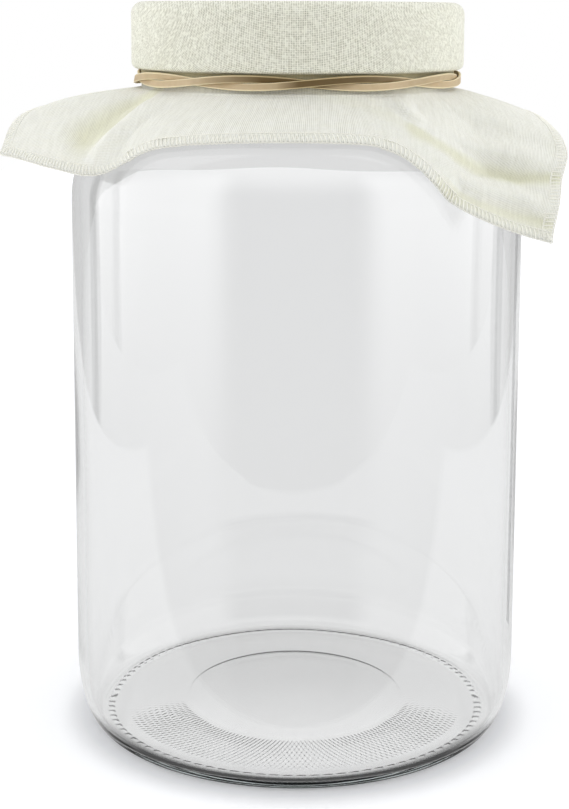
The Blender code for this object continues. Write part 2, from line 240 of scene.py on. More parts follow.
def eased(share):
    return share * share * (3 - 2 * share)


def threadRise(z, turn, startZ, pitch, halfWidth):     # 0 to 1 across one turn of thread
    share = turn / (2 * math.pi)
    off = (z - startZ - pitch * share) / halfWidth
    taper = np.clip(8 * np.minimum(share, 1 - share), 0, 1)
    return np.sqrt(np.clip(1 - off ** 2, 0, 1)) * taper


# Camera, table, backdrop and lights

camera = {
    "back": 0.58796,            # metres in front of the jar's axis
    "height": 0.24801,
    "tiltDown": 8.514,          # degrees
    "roll": 0.258,
    "lens": 75.36,
    "shiftX": -0.0150,
    "shiftY": -0.1687,
}

studio = {
    "room": [       # degrees from straight behind the jar, radiance and panel's share that the
                    # glass shows, and radiance that lights the cloth
        (0, 0.68, 0, 0.66), (52.5, 0.68, 0, 0.66), (53.5, 0.03, 0, 0.8), (60, 0.03, 0, 1.05),
        (61, 0.30, 1.0, 1.2), (75, 0.30, 0.95, 1.65), (90, 0.30, 0.85, 1.85),
        (134, 0.28, 0.85, 1.6), (146, 0.20, 0, 0.47),
    ],
    "panelGlow": 1.20,           # added by the side panels, where 1 is white
    "panelFoot": (-0.35, -0.03),    # sines of the heights over which the panels fade in
    "overhead": 0.98,
    "overheadShine": 1.75,      # the same, as the glass shows it
    "overheadFrom": (0.30, 0.75),   # sines of the heights over which it takes over
    "flagPlace": (0.128, 0.065),    # narrow grey card that the glass reflects
    "flagColour": (0.40, 0.40, 0.40),
    "flagWidth": 0.014,
    "flagHeight": 0.26,
    "tableFront": 0.13,
    "tableBack": 2.90,
    "tableSide": 0.47,
    "tableColour": (0.85, 0.86, 0.885),
    "tableLift": 0.12,          # takes the table up to white beside the jar
    "openLift": 0.21,           # and this much more beyond the shadow's edge
    "shadowEdge": (0.075, 0.087),
    "tableDrop": 0.0001,
    "tableThrough": (0.25, 0.253, 0.257),    # the same two through and in the glass
    "liftThrough": 0.61,
    "contactDark": 0.88,        # painted contact shadow, as the glass shows the table: share of that taken off along the foot's front
    "contactRing": (0.0645, 0.0690, 0.0790, 0.0860),
    "contactFront": (-0.015, -0.055),
}


def placeCamera():
    data = bpy.data.cameras.new("photoCamera")
    data.lens = camera["lens"]
    data.sensor_width = 36
    data.shift_x = camera["shiftX"]
    data.shift_y = camera["shiftY"]
    item = newObject("photoCamera", data)
    place = Matrix.Translation((0, -camera["back"], camera["height"]))
    tilt = Matrix.Rotation(math.radians(90 - camera["tiltDown"]), 4, "X")
    item.matrix_world = place @ tilt @ Matrix.Rotation(math.radians(camera["roll"]), 4, "Z")
    bpy.context.scene.camera = item


def lightRoom():
    world = bpy.data.worlds.new("studio")
    bpy.context.scene.world = world
    world.use_nodes = True
    tree = world.node_tree
    tree.nodes.clear()
    toward = node(tree, "ShaderNodeTexCoord").outputs["Generated"]
    x, y, z = parts(tree, toward)
    off = maths(tree, "DIVIDE", maths(tree, "ABSOLUTE", maths(tree, "ARCTAN2", x, y)), math.pi)
    ramps = []
    for column in (1, 2, 3):
        stops = node(tree, "ShaderNodeValToRGB", {0: off})
        elements = stops.color_ramp.elements
        while len(elements) < len(studio["room"]):
            elements.new(0.5)
        for element, row in zip(elements, studio["room"]):
            element.position = row[0] / 180
            element.color = (*(row[column] / 2,) * 3, 1)    # halved, as a ramp ends at 1
        ramps.append(stops.outputs["Color"])
    panel = times(tree, ramps[1], stepBetween(tree, z, *studio["panelFoot"]))
    shine = maths(tree, "MULTIPLY_ADD", panel, studio["panelGlow"], ramps[0])
    path = node(tree, "ShaderNodeLightPath").outputs
    inGlass = maths(tree, "MAXIMUM", path["Is Transmission Ray"], path["Is Glossy Ray"])
    side = times(tree, mixColour(tree, inGlass, ramps[2], shine), 2.0)
    above = stepBetween(tree, z, *studio["overheadFrom"])
    high = mixColour(tree, inGlass, (studio["overhead"],) * 3, (studio["overheadShine"],) * 3)
    room = mixColour(tree, above, side, high)
    shown = mixColour(tree, path["Is Camera Ray"], room, (1, 1, 1))
    glow = node(tree, "ShaderNodeBackground", {"Color": shown, "Strength": 1.0})
    finished = node(tree, "ShaderNodeOutputWorld")
    tree.links.new(glow.outputs[0], finished.inputs["Surface"])
    grey = newMaterial("flagGrey", studio["flagColour"], 0.9)[0]
    (x, y), half, high = studio["flagPlace"], studio["flagWidth"] / 2, studio["flagHeight"]
    corners = [(x - half, y, 0.001), (x + half, y, 0.001), (x + half, y, high), (x - half, y, high)]
    card = newObject("flagCard", newMesh("flagCard", corners, [(0, 1, 2, 3)]), grey)
    card.visible_camera = card.visible_diffuse = False
    card.visible_shadow = card.visible_transmission = False


def layTable():
    material, tree, shader = newMaterial("tableWhite", studio["tableColour"], 0.8)
    shader.inputs["Specular IOR Level"].default_value = 0.0
    path = node(tree, "ShaderNodeLightPath").outputs
    through = maths(tree, "MAXIMUM", path["Is Transmission Ray"], path["Is Glossy Ray"])
    place = objectPlace(tree)
    away = node(tree, "ShaderNodeVectorMath", {0: place}, operation="LENGTH").outputs["Value"]
    beyond = stepBetween(tree, away, *studio["shadowEdge"])
    seenLift = maths(tree, "MULTIPLY_ADD", beyond, studio["openLift"], studio["tableLift"])
    seenLift = times(tree, path["Is Camera Ray"], seenLift)
    # a contact shadow painted on the table in a ring round the foot's front, only in what the glass
    # shows
    inner, full, fading, outer = studio["contactRing"]
    contact = times(tree, stepBetween(tree, away, inner, full),
                    stepBetween(tree, away, outer, fading))
    y = parts(tree, place)[1]
    contact = times(tree, contact, stepBetween(tree, y, *studio["contactFront"]))
    contact = times(tree, contact, studio["contactDark"])
    below = mixColour(tree, contact, studio["tableThrough"], (0, 0, 0))
    colour = mixColour(tree, through, studio["tableColour"], below)
    tree.links.new(colour, shader.inputs["Base Color"])
    clear = times(tree, through, maths(tree, "SUBTRACT", 1.0, contact))
    strength = maths(tree, "MULTIPLY_ADD", clear, studio["liftThrough"], seenLift)
    lift = node(tree, "ShaderNodeEmission", {"Strength": strength})
    both = node(tree, "ShaderNodeAddShader", {0: shader.outputs[0], 1: lift.outputs[0]})
    tree.links.new(both.outputs[0], tree.nodes["Material Output"].inputs["Surface"])
    side, front, back = studio["tableSide"], -studio["tableFront"], studio["tableBack"]
    low = -studio["tableDrop"]
    corners = [(-side, front, low), (side, front, low), (side, back, low), (-side, back, low)]
    newObject("table", newMesh("table", corners, [(0, 1, 2, 3)]), material)


# Glass jar

glassJar = {
    "wall": 0.0032,
    "baseThickness": 0.0036,
    "pushUp": 0.0040,
    "pushUpRadius": 0.0380,
    "footWidth": 0.0075,
    "heelInset": 0.0085,
    "heelHeight": 0.0240,
    "innerHeelWidth": 0.0053,
    "innerHeelHeight": 0.0180,
    "shoulderRadius": 0.0360,
    "shoulderTurn": 60,         # degrees
    "neckFillet": 0.0060,
    "neckLength": 0.0081,
    "neckStep": 0.0006,
    "finishRadius": 0.0535,
    "rimWall": 0.0038,
    "rimRound": 0.0010,
    "beadRise": 0.0009,
    "beadTop": 0.0134,
    "beadHeight": 0.0030,
    "threadPitch": 0.00508,
    "threadStart": 0.0082,
    "threadHalf": 0.0011,
    "threadRise": 0.0013,
    "segments": 376,
    "waviness": 0.00006,        # of the inner wall, from blowing
    "waves": [(3, 31, 0, 1), (5, -47, 1.3, 0.7), (8, 83, 2.1, 0.5)],
    "ior": 1.52,
    "tint": (0.945, 0.955, 0.955),
    "tintDensity": 60.0,
    "underStep": 0.00013,       # round the middle of the underside
    "dotsInner": 0.0392,        # the underside is stippled from here
    "dotsOuter": 0.0605,
    "dotsEdge": 0.002,
    "dotsFade": (-0.10, -0.65),     # from the sides to the front, as y over r
    "dotRow": 0.00200,          # between rows of stipples
    "dotHeight": 0.00019,
    "dashDepth": 0.00032,       # grooves across the ring that it stands on
    "dashInner": 0.0648,
    "dashOuter": 0.0676,
    "dashEdge": 0.0006,
    "stippleTop": 0.0028,       # nothing above this height is stippled
}
jarRadius = jarHigh.x
rimHeight = jarHigh.z
neckRadius = glassJar["finishRadius"] - glassJar["neckStep"]
beadLow = rimHeight - glassJar["beadTop"] - glassJar["beadHeight"]
neckFoot = beadLow - glassJar["neckLength"]


def shoulderLine(offset=0.0, fine=1):    # from the neck down to the straight wall
    turn = math.radians(glassJar["shoulderTurn"])
    side, rise = 1 - math.cos(turn), math.sin(turn)
    fillet, bulge = glassJar["neckFillet"], glassJar["shoulderRadius"]
    run = jarRadius - neckRadius - side * (fillet + bulge)
    low = neckFoot - rise * (fillet + bulge) - run / math.tan(turn)
    concave = arcPoints(neckRadius + fillet, neckFoot, fillet + offset, fillet + offset,
                        180, 180 + glassJar["shoulderTurn"], 4 * fine)
    convex = arcPoints(jarRadius - bulge, low, bulge - offset, bulge - offset,
                       glassJar["shoulderTurn"], 0, 8 * fine)
    return concave + convex


def jarOutline():               # inner side from the middle up, outer side down, and underside
    g = glassJar
    foot, wall, rim = jarRadius - g["heelInset"], g["finishRadius"], rimHeight
    base, wide, high = g["baseThickness"], g["innerHeelWidth"], g["innerHeelHeight"]
    ring = foot - g["footWidth"]
    step, edge = g["pushUp"] / 4, g["pushUpRadius"]
    floor = jarRadius - g["wall"] - wide
    inside = softened([(0, 4 * step + base), (edge / 3, 3.9 * step + base),
                       (edge, 2.2 * step + base), (ring, base), (floor, base)], 0.008, 4)
    inside += arcPoints(floor, base + high, wide, high, -90, 0, 16)[1:]
    inside = filled(inside, 0.008)
    wallUp = filled([inside[-1], shoulderLine(g["wall"], 2)[-1]], 0.020)[1:-1]
    inside += wallUp + shoulderLine(g["wall"], 2)[::-1]
    mouth, lip = g["finishRadius"] - g["rimWall"], g["rimRound"]
    inside += [(mouth, rim - lip)] + arcPoints(mouth + lip, rim - lip, lip, lip, 180, 90, 4)
    outside = arcPoints(wall - lip, rim - lip, lip, lip, 90, 0, 4)
    bead, slope = wall + g["beadRise"], g["beadRise"] / 2
    top = rim - g["beadTop"]
    outside += filled([(wall, rim - lip), (wall, top)], 0.0005)[1:]
    outside += softened([(wall, top), (bead, top - slope), (bead, beadLow + slope),
                         (neckRadius, beadLow), (neckRadius, neckFoot)], 0.0006, 3)[1:]
    outside += shoulderLine(0, 2)[1:]
    outside += filled([outside[-1], (jarRadius, g["heelHeight"])], 0.020)[1:-1]
    outside += arcPoints(foot, g["heelHeight"], g["heelInset"], g["heelHeight"], 0, -90, 24)
    under = softened([(foot, 0), (ring, 0), (ring - 12 * step, step)], 0.005, 8)[1:-1]
    dome = [(edge * k / 16, step * (4 - 1.9 * (k / 16) ** 2)) for k in range(15, -1, -1)]
    under += softened([under[-1], (edge + 0.4 * step, 2 * step),
                       (edge - 0.4 * step, 2 * step + g["underStep"]), dome[0]], 0.0006, 4)[1:-1]
    under = filled([(foot, 0)] + under + dome[:12], 0.0005)[1:]
    return inside, outside, under, dome[12:]


def shapeGlass(r, z, turn, inner):      # adds the thread outside and the blown waves inside
    g = glassJar
    if not inner:
        rise = threadRise(z, turn, rimHeight - g["threadStart"], g["threadPitch"], g["threadHalf"])
        return np.where(np.abs(r - g["finishRadius"]) < 1e-6, r + rise * g["threadRise"], r)
    wave = sum(share * np.sin(count * turn + climb * z + phase)
               for count, climb, phase, share in g["waves"])
    return r + wave * g["waviness"] * np.clip(r / jarRadius * 1.6 - 0.5, 0, 1)


def glassMesh():                # rings of points, with twice as many where it is stippled
    g = glassJar
    inside, outside, under, middle = jarOutline()
    finest = g["dotsInner"] - g["dotsEdge"], g["dotsOuter"] + g["dotsEdge"]
    points, rings, faces = [], [], []
    for number, (r, z) in enumerate(inside + outside + under + middle):
        fine = number >= len(inside + outside) and finest[0] < r < finest[1]
        turn = np.linspace(0, 2 * math.pi, g["segments"] * (2 if fine else 1), endpoint=False)
        reach = shapeGlass(np.full(len(turn), r), z, turn, number < len(inside))
        rings.append(np.arange(len(turn)) + len(points))
        ring = [reach * np.cos(turn), reach * np.sin(turn), np.full(len(turn), z)]
        points += np.stack(ring, 1).tolist()
    for here, after in zip(rings, rings[1:]):
        if len(here) == len(after):
            faces += gridFaces(np.stack([here, after]))
            continue
        few, many = (here, after) if len(here) < len(after) else (after, here)
        nextFew, between, beyond = np.roll(few, -1), many[1::2], np.roll(many, -2)[::2]
        fans = (few, many[::2], between), (few, between, nextFew), (nextFew, between, beyond)
        for trio in fans:
            faces += np.stack(trio, 1).tolist()
    mesh = newMesh("glassJar", points, faces)
    closeUp(mesh)
    return mesh


def stipples(tree, given):      # bumps and hollows in staggered rows, and grooves on the foot
    x, y, z = parts(tree, form(tree, "InputPosition"))
    r = maths(tree, "SQRT", maths(tree, "ADD", times(tree, x, x), times(tree, y, y)))
    angle = maths(tree, "ARCTAN2", y, x)

    def band(title):        # 1 between two radii, falling to 0 at both
        inner, outer, edge = (given[f"{title} {end}"] for end in ("Inner", "Outer", "Edge"))
        rising = stepBetween(tree, r, inner, maths(tree, "ADD", inner, edge))
        falling = stepBetween(tree, r, outer, maths(tree, "SUBTRACT", outer, edge))
        return times(tree, rising, falling)

    turning = maths(tree, "COSINE", times(tree, angle, given["Dots Round"]))
    row = maths(tree, "DIVIDE", maths(tree, "SUBTRACT", r, given["Dots Inner"]), given["Row Pitch"])
    crossing = maths(tree, "COSINE", times(tree, row, math.pi))
    toFront = stepBetween(tree, maths(tree, "DIVIDE", y, r), *glassJar["dotsFade"])
    dot = times(tree, times(tree, turning, crossing), times(tree, toFront, band("Dots")))
    drop = times(tree, dot, given["Dot Height"])
    groove = maths(tree, "COSINE", times(tree, angle, given["Dashes Round"]))
    groove = maths(tree, "MULTIPLY_ADD", groove, 0.5, 0.5)
    groove = times(tree, groove, band("Dash"))
    shift = maths(tree, "MULTIPLY_ADD", groove, given["Dash Depth"], drop)
    shift = times(tree, shift, maths(tree, "LESS_THAN", z, given["Highest"]))
    shift = vector(tree, z=shift)
    return form(tree, "SetPosition", {"Geometry": given["Geometry"], "Offset": shift})


def makeJar():
    g = glassJar
    material, tree, _ = newMaterial("clearGlass", (1.0, 1.0, 1.0), 0.0, IOR=g["ior"],
                                    Transmission_Weight=1.0)
    body = node(tree, "ShaderNodeVolumeAbsorption", {"Color": (*g["tint"], 1),
                                                     "Density": g["tintDensity"]})
    tree.links.new(body.outputs[0], tree.nodes["Material Output"].inputs["Volume"])
    jar = newObject("glassJar", glassMesh(), material)
    addPattern(jar, "baseStipples", stipples, {
        "Dots Round": g["segments"] / 2, "Row Pitch": g["dotRow"], "Dot Height": g["dotHeight"],
        "Dots Inner": g["dotsInner"], "Dots Outer": g["dotsOuter"], "Dots Edge": g["dotsEdge"],
        "Dashes Round": g["segments"] / 4, "Dash Depth": g["dashDepth"],
        "Dash Inner": g["dashInner"], "Dash Outer": g["dashOuter"],
        "Dash Edge": g["dashEdge"], "Highest": g["stippleTop"]}, material)
    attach(jar, "jar")
    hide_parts("glass_jar")
    print(f"glass jar: {len(jar.data.polygons)} faces")


# Screw lid and its foam liner

screwLid = {
    "wall": 0.0012,
    "plate": 0.0015,
    "edge": 0.0033,
    "footBevel": 0.0007,
    "threadHalf": 0.00095,
    "threadClear": 0.0004,
    "threadLead": 0.46,         # of a pitch, below the glass thread's start
    "ribs": 120,
    "ribHeight": 0.00035,
    "segments": 240,
    "linerSoft": 0.0003,
    "plastic": (0.88, 0.88, 0.85),
    "roughness": (0.30, 0.46),
    "foam": (0.91, 0.91, 0.89),
}


def lidShape(r, z, turn):
    inner = np.abs(r - (lidHigh.x - screwLid["wall"])) < 1e-6
    start = rimHeight - glassJar["threadStart"] - screwLid["threadLead"] * glassJar["threadPitch"]
    rise = threadRise(z, turn, start, glassJar["threadPitch"], screwLid["threadHalf"])
    crest = glassJar["finishRadius"] + screwLid["threadClear"]
    return np.where(inner, r - rise * (r - crest), r), z


def gripRibs(tree, given):
    ring = form(tree, "CurvePrimitiveCircle", {"Resolution": given["Rib Count"],
                                               "Radius": given["Lid Radius"]})
    bar = form(tree, "MeshCylinder", {"Vertices": 8, "Radius": given["Rib Radius"],
                                      "Depth": given["Rib Length"]})
    raised = maths(tree, "MULTIPLY_ADD", given["Rib Length"], 0.5, given["Rib Foot"])
    lifted = form(tree, "Transform", {"Geometry": bar, "Translation": vector(tree, z=raised)})
    bars = form(tree, "InstanceOnPoints", {"Points": ring, "Instance": lifted})
    return joined(tree, [given["Geometry"], bars])


def makeLid():
    s = screwLid
    material, tree, shader = newMaterial("whitePlastic", s["plastic"], sum(s["roughness"]) / 2)
    place = objectPlace(tree)
    least, most = s["roughness"]
    rough = node(tree, "ShaderNodeMapRange", {"Value": noise(tree, place, 60.0, 4.0),
                                              "To Min": least, "To Max": most})
    tree.links.new(rough.outputs[0], shader.inputs["Roughness"])
    roughen(tree, shader, noise(tree, place, 900.0, 3.0), 0.25, 0.00005)
    radius, top, low = lidHigh.x, lidHigh.z, lidLow.z
    skin = radius - s["ribHeight"]
    inner = radius - s["wall"]
    edge, bevel = s["edge"], s["footBevel"]
    profile = [(0, top)] + arcPoints(skin - edge, top - edge, edge, edge, 90, 0, 8)
    profile += arcPoints(skin - bevel, low + bevel, bevel, bevel, 0, -90, 4)
    profile += filled([(inner, low), (inner, top - s["plate"])], 0.0004)
    profile += [(0, top - s["plate"])]
    lid = newObject("screwLid", turnedMesh("screwLid", filled(profile, 0.006), s["segments"],
                                           lidShape), material)
    ribFoot, ribTop = low + 2 * bevel, top - edge * 1.2
    addPattern(lid, "gripRibs", gripRibs, {
        "Rib Count": s["ribs"], "Rib Radius": s["ribHeight"], "Rib Length": ribTop - ribFoot,
        "Rib Foot": ribFoot, "Lid Radius": skin}, material)
    lid.data.set_sharp_from_angle(angle=math.radians(40))
    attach(lid, "lid")
    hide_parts("screw_lid")
    print(f"screw lid: {len(lid.data.polygons)} faces")


def makeLiner():
    material, tree, shader = newMaterial("linerFoam", screwLid["foam"], 0.85)
    cells = node(tree, "ShaderNodeTexVoronoi", {"Vector": objectPlace(tree), "Scale": 2200.0})
    roughen(tree, shader, cells.outputs["Distance"], 0.5, 0.0001)
    soft, radius = screwLid["linerSoft"], linerHigh.x
    low, top = linerLow.z, linerHigh.z
    corners = [(0, top), (radius, top), (radius, low), (0, low)]
    mesh = turnedMesh("linerDisc", filled(softened(corners, soft), 0.008), 160)
    liner = newObject("linerDisc", mesh, material)
    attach(liner, "liner")
    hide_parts("lid_liner")
    print("liner disc made")


# Cloth cover, a square of open cotton drawn over the lid

clothCover = {
    "side": 0.2285,
    "thickness": 0.0004,
    "shiftRight": 0.0040,
    "shiftBack": 0.0068,
    "neckEase": 0.00015,
    "hangClear": 0.0011,
    "arch": 0.035,              # how far a line of the skirt bows up, of its length
    "spokes": 640,              # lines from the middle out
    "skirtRings": 36,
    "foldStart": 0.012,         # over which the folds grow below the band
    "gather": 0.00009,          # depth of the fine pleats that the band makes
    "gatherReach": 0.007,
    "pleats": (70, 150, 9),     # fewest and most in a wave round the neck, and how many waves
    "ripple": 0.0003,           # of the hem
    "ripples": (14, 34, 5),
    "hemFlat": 0.016,           # over which the folds fade towards the hem
    "puff": 0.0013,             # how far it hangs below the lid's edge
    "threadsAcross": 420,
    "seed": 7,
    "onLid": (0.079, 0.085),    # from the axis, over which the cloth stops lying on something
    "fullHollow": 0.0024,       # depth of a fold that looks fully shaded
    "bandShade": 0.0014,        # how far past the band the cloth carries painted shade from the band's strands
    "bandShadeOut": 0.0032,
    "cotton": (0.965, 0.972, 0.91),
    "cottonThin": (0.950, 0.957, 0.88),
    "cottonOnLid": (0.955, 0.960, 0.84),
    # painted shade in the hollows of the folds
    "cottonHollow": (0.82, 0.82, 0.62),
    # painted shade where the band's strands shade the cloth at the neck
    "cottonTight": (0.42, 0.36, 0.20),
    "hollowShade": 0.7,         # how far the colour goes to the painted shade of a fold's hollow
    # painted shade that the gaps and holes between threads show
    "gapColour": (0.30, 0.285, 0.19),
    "gapDepths": (0.44, 0.13),      # painted shade between warp threads, between weft threads
    "holeDepths": (0.15, 1.5),      # painted shade where threads cross: everywhere, and more on the lid
    "holeChance": (0.25, 0.9),
    "slubScale": (0.06, 0.83),      # along a thread, and of the noise in all
}
clothMiddle = np.array([clothCover["shiftRight"], clothCover["shiftBack"]])

# How the skirt falls: direction from the lid's axis on the flat cloth, place round the neck,
# heading and dip in degrees, and the length spanned as a share of the cloth there
skirtFall = [
    (232, 215, 201, 36, 0.84), (239, 226, 204, 43.5, 1.00), (250, 241, 203, 39, 0.97),
    (260, 256, 232, 41.5, 1.00), (270, 270, 263, 44.5, 1.00), (282, 288, 297, 46, 0.95),
    (292, 303, 281, 43.5, 0.94), (304, 316, 291, 51, 1.00), (309, 320, 304, 48.5, 1.00),
    ("front right", 327, 318, 45, 0.87), (322, 331, 323, 37, 0.90), (327, 334, 330, 31, 0.89),
    (331, 337, 332, 25.5, 0.99), (337, 342, 338, 20, 0.96), (345, 348, 357, 17.5, 0.91),
    (356, 357, 381, 17, 0.89), (368, 367, 391, 17, 0.92), (382, 379, 393, 26.5, 1.00),
    (394, 389, 388, 32.5, 1.00), ("back right", 398, 393, 27, 0.88), (418, 412, 411, 25, 0.87),
    (432, 429, 438, 26, 0.82), (450, 450, 451, 26, 0.83), (466, 468, 463, 26, 0.82),
    (480, 483, 492, 24, 0.86), ("back left", 495, 500, 21, 0.86), (506, 507, 508, 26, 0.90),
    (520, 518, 495, 29.5, 0.92), (534, 529, 510, 19, 0.95), (548, 539, 523, 14.5, 1.00),
    (563, 551, 516, 10.5, 1.00), (573, 558, 527, 10.5, 1.00), (579, 562, 533, 17, 0.91),
    ("front left", 566, 538, 22, 0.79),
]

# Folds laid into the skirt: places on the flat cloth in mm from the lid's axis, height, and
# how far the fold spreads to its left and to its right
skirtFolds = [
    ([(-48, -68), (-56, -76), (-61, -84), (-67, -94), (-69, -104)], 2.4, 10, 4),
    ([(-57, -64), (-65, -74), (-72, -84), (-78, -92)], -3.0, 8, 7),
    ([(-66, -56), (-88, -66), (-112, -76)], 1.2, 9, 9),
    ([(33, -79), (45, -90), (57, -90), (69, -87), (90, -83), (101, -80), (118, -71)], 3.2, 8, 3.5),
    ([(46, -94), (55, -94), (70, -92), (88, -88), (102, -86), (118, -79)], -2.9, 3.5, 3.5),
    ([(56, -100), (72, -99), (81, -99), (104, -97), (118, -94)], 2.6, 3.5, 3),
    ([(64, -106), (79, -103), (89, -102), (118, -101)], -2.2, 3, 3.5),
    ([(8, -84), (27, -91), (54, -97)], -0.6, 5, 4),
    ([(48, -66), (58, -68), (78, -63), (96, -59)], 0.9, 6, 6),
]


def cornerAngle(title):
    half = clothCover["side"] / 2
    x = clothMiddle[0] + (half if "right" in title else -half)
    y = clothMiddle[1] + (half if "back" in title else -half)
    return math.degrees(math.atan2(y, x))


def fallTable():                # the rows of skirtFall every quarter degree, smoothed
    rows = []
    for first, *rest in skirtFall:
        angle = cornerAngle(first) if isinstance(first, str) else first
        while rows and angle < rows[-1][0]:
            angle += 360
        rows.append([angle] + rest)
    rows = np.array(rows, float)
    wholeTurn = np.array([360, 360, 360, 0, 0])
    rows = np.vstack([rows - wholeTurn, rows, rows + wholeTurn])
    angles = np.arange(0, 360, 0.25)
    table = []
    for column in range(1, 5):
        turning = column < 3
        values = np.interp(angles, rows[:, 0], rows[:, column]) - (angles if turning else 0)
        weights = np.exp(-(np.arange(-30, 31) / 13.0) ** 2)
        padded = np.concatenate([values[-30:], values, values[:30]])
        table.append(np.convolve(padded, weights / weights.sum(), "valid"))
    return np.array(table)


def lineAt(angle, table):       # place, heading, dip and span for directions in degrees
    spot = np.mod(angle, 360) / 0.25
    low = np.floor(spot).astype(int)
    share = spot - low
    here, after = table[:, low % 1440], table[:, (low + 1) % 1440]
    place, heading, dip, span = here + (after - here) * share
    return place + angle, heading + angle, dip, span


def clothSpokes():              # direction and length of each line out to the flat cloth's edge
    count, side = clothCover["spokes"] // 4, clothCover["side"]
    run = (np.arange(count) / count - 0.5) * side
    edge = np.full(count, side / 2)
    x = np.concatenate([run, edge, -run, -edge]) + clothMiddle[0]
    y = np.concatenate([-edge, run, edge, -run]) + clothMiddle[1]
    return np.degrees(np.arctan2(y, x)), np.hypot(x, y)


def capOutline():               # inner side of the cloth, over the lid and down the neck
    edge, bevel = screwLid["edge"] + clearance, screwLid["footBevel"]
    radius, top = lidHigh.x + clearance, lidHigh.z + clearance
    neck = neckRadius + clearance + clothCover["neckEase"]
    under = lidLow.z - clothCover["puff"]
    leave = bandLow.z - rubberBand["lowered"] - clearance - 1.5 * clothCover["thickness"]
    points = [(0, top)] + arcPoints(radius - edge, top - edge, edge, edge, 90, 0, 10)
    turn = 2.6 * bevel
    points += arcPoints(radius - turn, under + turn, turn, turn, 0, -90, 8)
    points += softened([points[-1], (neck, under), (neck, leave)], 0.0009, 4)[1:]
    return np.array(points)


def capRings(outline, lengths, angle):      # over the lid, and gathered in to the neck
    used = lengths[-1]
    drawnIn = np.clip((lengths - lidHigh.x) / (used - lidHigh.x), 0, 1)[:, None]
    turn = np.radians(angle + (lineAt(angle, fallTable())[0] - angle) * drawnIn)
    r, z = outline[:, :1], outline[:, 1:] + 0 * turn
    return np.stack([r * np.cos(turn), r * np.sin(turn), z], -1)


def skirtRings(outline, angle, reach, shares):      # from the band out to the hem
    place, heading, dip, span = lineAt(angle, fallTable())
    place, heading, dip = np.radians(place), np.radians(heading), np.radians(dip)
    neck, leave = outline[-1]
    along = shares[:, None] * reach * span
    x = neck * np.cos(place) + along * np.cos(dip) * np.cos(heading)
    y = neck * np.sin(place) + along * np.cos(dip) * np.sin(heading)
    bow = 4 * clothCover["arch"] * reach * span * (shares * (1 - shares))[:, None]
    return np.stack([x, y, leave - along * np.sin(dip) + bow], -1)


def keepOffJar(points, space):  # moves points that are inside the glass, or near it, out
    outline = np.array([(neckRadius, beadLow)] + shoulderLine() + [(jarRadius, 0)])
    start, run = outline[:-1], np.diff(outline, axis=0)
    r = np.maximum(np.hypot(points[:, 0], points[:, 1]), 1e-6)
    flat = np.stack([r, points[:, 2]], -1)[:, None, :]
    share = np.clip(((flat - start) * run).sum(-1) / (run ** 2).sum(-1), 0, 1)
    away = flat - (start + share[..., None] * run)
    distance = np.hypot(away[..., 0], away[..., 1])
    near = distance.argmin(1)
    rows = np.arange(len(r))
    side = run[near, 0] * away[rows, near, 1] - run[near, 1] * away[rows, near, 0]
    signed = np.where(side > 0, distance[rows, near], -distance[rows, near])
    out = np.stack([-run[near, 1], run[near, 0]], -1) / np.linalg.norm(run[near], axis=1)[:, None]
    push = np.maximum(space - signed, 0)[:, None] * out
    newR = r + push[:, 0]
    moved = points.copy()
    moved[:, :2] *= (newR / r)[:, None]
    moved[:, 2] += push[:, 1]
    return moved


def foldHeight(flat):           # of all folds together, at places on the flat cloth in metres
    total = np.zeros(flat.shape[:-1])
    for route, height, left, right in skirtFolds:
        best, offset = np.full(total.shape, np.inf), np.zeros(total.shape)
        for start, end in zip(route, route[1:]):
            start, run = np.array(start) / 1000, np.subtract(end, start) / 1000
            away = flat - start
            share = np.clip(away @ run / (run @ run), 0, 1)[..., None]
            distance = np.linalg.norm(away - share * run, axis=-1)
            side = np.sign(run[0] * away[..., 1] - run[1] * away[..., 0])
            nearer = distance < best
            best = np.where(nearer, distance, best)
            offset = np.where(nearer, side * distance, offset)
        spread = np.where(offset > 0, left, right) / 1000
        total += height / 1000 * np.exp(-(offset / spread) ** 2)
    return total


def clothNormals(points):
    around = np.roll(points, -1, 1) - np.roll(points, 1, 1)
    normals = np.cross(np.gradient(points, axis=0), around)
    return normals / (np.linalg.norm(normals, axis=-1, keepdims=True) + 1e-12)


def roundWaves(random, turn, fewest, most, count):
    total = np.zeros(len(turn))
    for waves in random.integers(fewest, most, count):
        total += np.sin(waves * turn + random.uniform(0, 2 * math.pi)) / count ** 0.5
    return total


def drapeCloth():               # rings and spokes of the cloth, and where they lie on it flat
    c = clothCover
    outline = capOutline()
    lengths = np.concatenate([[0], np.cumsum(np.linalg.norm(np.diff(outline, axis=0), axis=1))])
    used = lengths[-1]
    angle, edge = clothSpokes()
    shares = np.linspace(0, 1, c["skirtRings"] + 1)[1:] ** 1.15
    skirt = skirtRings(outline, angle, edge - used, shares)
    points = np.concatenate([capRings(outline, lengths, angle), skirt])
    reach = np.concatenate([lengths[:, None] + 0 * edge, used + shares[:, None] * (edge - used)])
    flat = reach[..., None] * np.stack([np.cos(np.radians(angle)), np.sin(np.radians(angle))], -1)
    below = eased(np.clip((reach - used) / c["foldStart"], 0, 1))
    random = np.random.default_rng(c["seed"])
    pleats = roundWaves(random, np.radians(angle), *c["pleats"])
    ripples = roundWaves(random, np.radians(angle), *c["ripples"])
    fine = np.maximum(reach - used, 0) / c["gatherReach"]
    fromHem = np.clip((c["side"] / 2 - np.abs(flat - clothMiddle).max(-1)) / c["hemFlat"], 0, 1)
    folds = foldHeight(flat) * below * (0.15 + 0.85 * eased(fromHem))
    lift = folds + pleats * c["gather"] * fine * np.exp(1 - fine)
    lift += ripples * c["ripple"] * np.clip((reach - used) / (edge - used), 0, 1) ** 3
    loose = np.arange(len(points)) >= len(outline)
    hang = points[loose] + (clothNormals(points) * lift[..., None])[loose]
    points[loose] = keepOffJar(hang.reshape(-1, 3), c["hangClear"]).reshape(hang.shape)
    print(f"cloth laid over the lid, {used * 1000:.1f} mm of it used to the band")
    return points, flat


